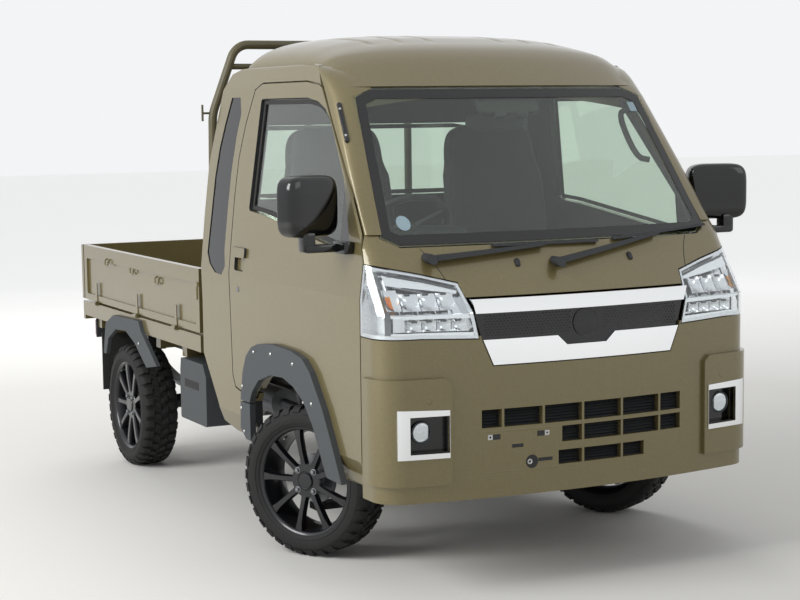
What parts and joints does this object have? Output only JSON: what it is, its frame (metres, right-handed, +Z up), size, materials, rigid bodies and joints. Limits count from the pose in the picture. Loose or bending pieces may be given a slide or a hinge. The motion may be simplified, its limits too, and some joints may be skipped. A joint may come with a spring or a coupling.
{
  "type": "small cab-over pickup truck",
  "caption": "Small cab-over pickup truck with a raised roof, two doors, a flat bed with drop sides, a headboard frame and steered front wheels.",
  "frame": {"origin": "on the ground, on the centre line, midway between the bumper and the tailgate's latches", "axes": "+Z up, -Y towards the nose, +X to the vehicle's left"},
  "size_m": [1.9068, 3.394, 1.896],
  "materials": {
    "body_paint": "olive-khaki metallic",
    "roof": "olive-khaki metallic",
    "glass": "green tinted",
    "lamp_lens": "clear",
    "tail_lens": "red",
    "chrome": "polished",
    "black_gloss": "gloss black",
    "trim_plastic": "dark grey",
    "rubber": "black",
    "guard_paint": "dark olive",
    "chassis_black": "black",
    "steel": "bare",
    "engine_metal": "cast",
    "seat_fabric": "dark grey",
    "cabin_plastic": "dark grey",
    "tyre": "black",
    "wheel_black": "satin black"
  },
  "bodies": {
    "chassis": {"high_roof": "roof", "cab_shell": "body_paint", "front_panel": "body_paint", "bumper": "body_paint", "bed_floor": "body_paint", "windscreen": "glass", "rear_window": "glass", "quarter_windows": "glass", "headlamps": "lamp_lens", "lamp_bowls": "black_gloss", "fog_lamps": "lamp_lens", "tail_lamps": "tail_lens", "grille_bars": "chrome", "fog_bezels": "chrome", "grille_panel": "black_gloss", "body_flares": "trim_plastic", "wipers": "trim_plastic", "side_box": "trim_plastic", "mudflaps": "rubber", "guard_frame": "guard_paint", "ladder_frame": "chassis_black", "rear_axle": "chassis_black", "leaf_springs": "steel", "front_suspension": "chassis_black", "engine_block": "engine_metal", "drive_line": "engine_metal", "radiator": "engine_metal", "exhaust_pipe": "steel", "fuel_tank": "chassis_black", "seats": "seat_fabric", "dashboard": "cabin_plastic"},
    "door_right_body": {"door_right": "body_paint", "door_glass_right": "glass", "mirror_right": "black_gloss", "door_flare_right": "trim_plastic"},
    "door_left_body": {"door_left": "body_paint", "door_glass_left": "glass", "mirror_left": "black_gloss", "door_flare_left": "trim_plastic"},
    "side_gate_right_body": {"side_gate_right": "body_paint"},
    "side_gate_left_body": {"side_gate_left": "body_paint"},
    "tailgate_body": {"tailgate": "body_paint"},
    "knuckle_right_body": {"knuckle_right": "steel", "strut_right": "chassis_black"},
    "knuckle_left_body": {"knuckle_left": "steel", "strut_left": "chassis_black"},
    "wheel_front_right": {"tyre_front_right": "tyre", "rim_front_right": "wheel_black"},
    "wheel_front_left": {"tyre_front_left": "tyre", "rim_front_left": "wheel_black"},
    "wheel_rear_right": {"tyre_rear_right": "tyre", "rim_rear_right": "wheel_black"},
    "wheel_rear_left": {"tyre_rear_left": "tyre", "rim_rear_left": "wheel_black"},
    "steering_wheel_body": {"steering_wheel": "cabin_plastic"}
  },
  "joints": [
    {"name": "door_right_hinge", "type": "hinge", "parent": "chassis", "child": "door_right_body", "pos_m": [-0.742, -1.465, 0.8], "axis": [0, 0, 1], "range_deg": [0, 65]},
    {"name": "door_left_hinge", "type": "hinge", "parent": "chassis", "child": "door_left_body", "pos_m": [0.742, -1.465, 0.8], "axis": [0, 0, -1], "range_deg": [0, 65]},
    {"name": "side_gate_right_hinge", "type": "hinge", "parent": "chassis", "child": "side_gate_right_body", "pos_m": [-0.75, 0.85, 0.707], "axis": [0, -1, 0], "range_deg": [0, 170]},
    {"name": "side_gate_left_hinge", "type": "hinge", "parent": "chassis", "child": "side_gate_left_body", "pos_m": [0.75, 0.85, 0.707], "axis": [0, 1, 0], "range_deg": [0, 170]},
    {"name": "tailgate_hinge", "type": "hinge", "parent": "chassis", "child": "tailgate_body", "pos_m": [0, 1.69, 0.707], "axis": [-1, 0, 0], "range_deg": [0, 170]},
    {"name": "steering_right", "type": "hinge", "parent": "chassis", "child": "knuckle_right_body", "pos_m": [-0.6, -0.856, 0.275], "axis": [0.2588, 0, 0.9659], "range_deg": [-67.6, 8.4]},
    {"name": "steering_left", "type": "hinge", "parent": "chassis", "child": "knuckle_left_body", "pos_m": [0.6, -0.856, 0.275], "axis": [-0.2588, 0, 0.9659], "range_deg": [-67.6, 8.4]},
    {"name": "wheel_front_right_spin", "type": "hinge", "parent": "knuckle_right_body", "child": "wheel_front_right", "pos_m": [-0.6, -0.856, 0.275], "axis": [-0.8695, -0.4939, 0], "continuous": true},
    {"name": "wheel_front_left_spin", "type": "hinge", "parent": "knuckle_left_body", "child": "wheel_front_left", "pos_m": [0.6, -0.856, 0.275], "axis": [0.8695, 0.4939, 0], "continuous": true},
    {"name": "wheel_rear_right_spin", "type": "hinge", "parent": "chassis", "child": "wheel_rear_right", "pos_m": [-0.66, 1.044, 0.275], "axis": [-1, 0, 0], "continuous": true},
    {"name": "wheel_rear_left_spin", "type": "hinge", "parent": "chassis", "child": "wheel_rear_left", "pos_m": [0.66, 1.044, 0.275], "axis": [1, 0, 0], "continuous": true},
    {"name": "steering_wheel_turn", "type": "hinge", "parent": "chassis", "child": "steering_wheel_body", "pos_m": [-0.37, -1.05, 1.172], "axis": [0, 0.7431, 0.6691], "range_deg": [-1081.6, 134.4]}
  ],
  "couplings": [
    {"joint": "steering_left", "follows": "steering_right", "ratio": 1},
    {"joint": "steering_wheel_turn", "follows": "steering_right", "ratio": 16}
  ]
}
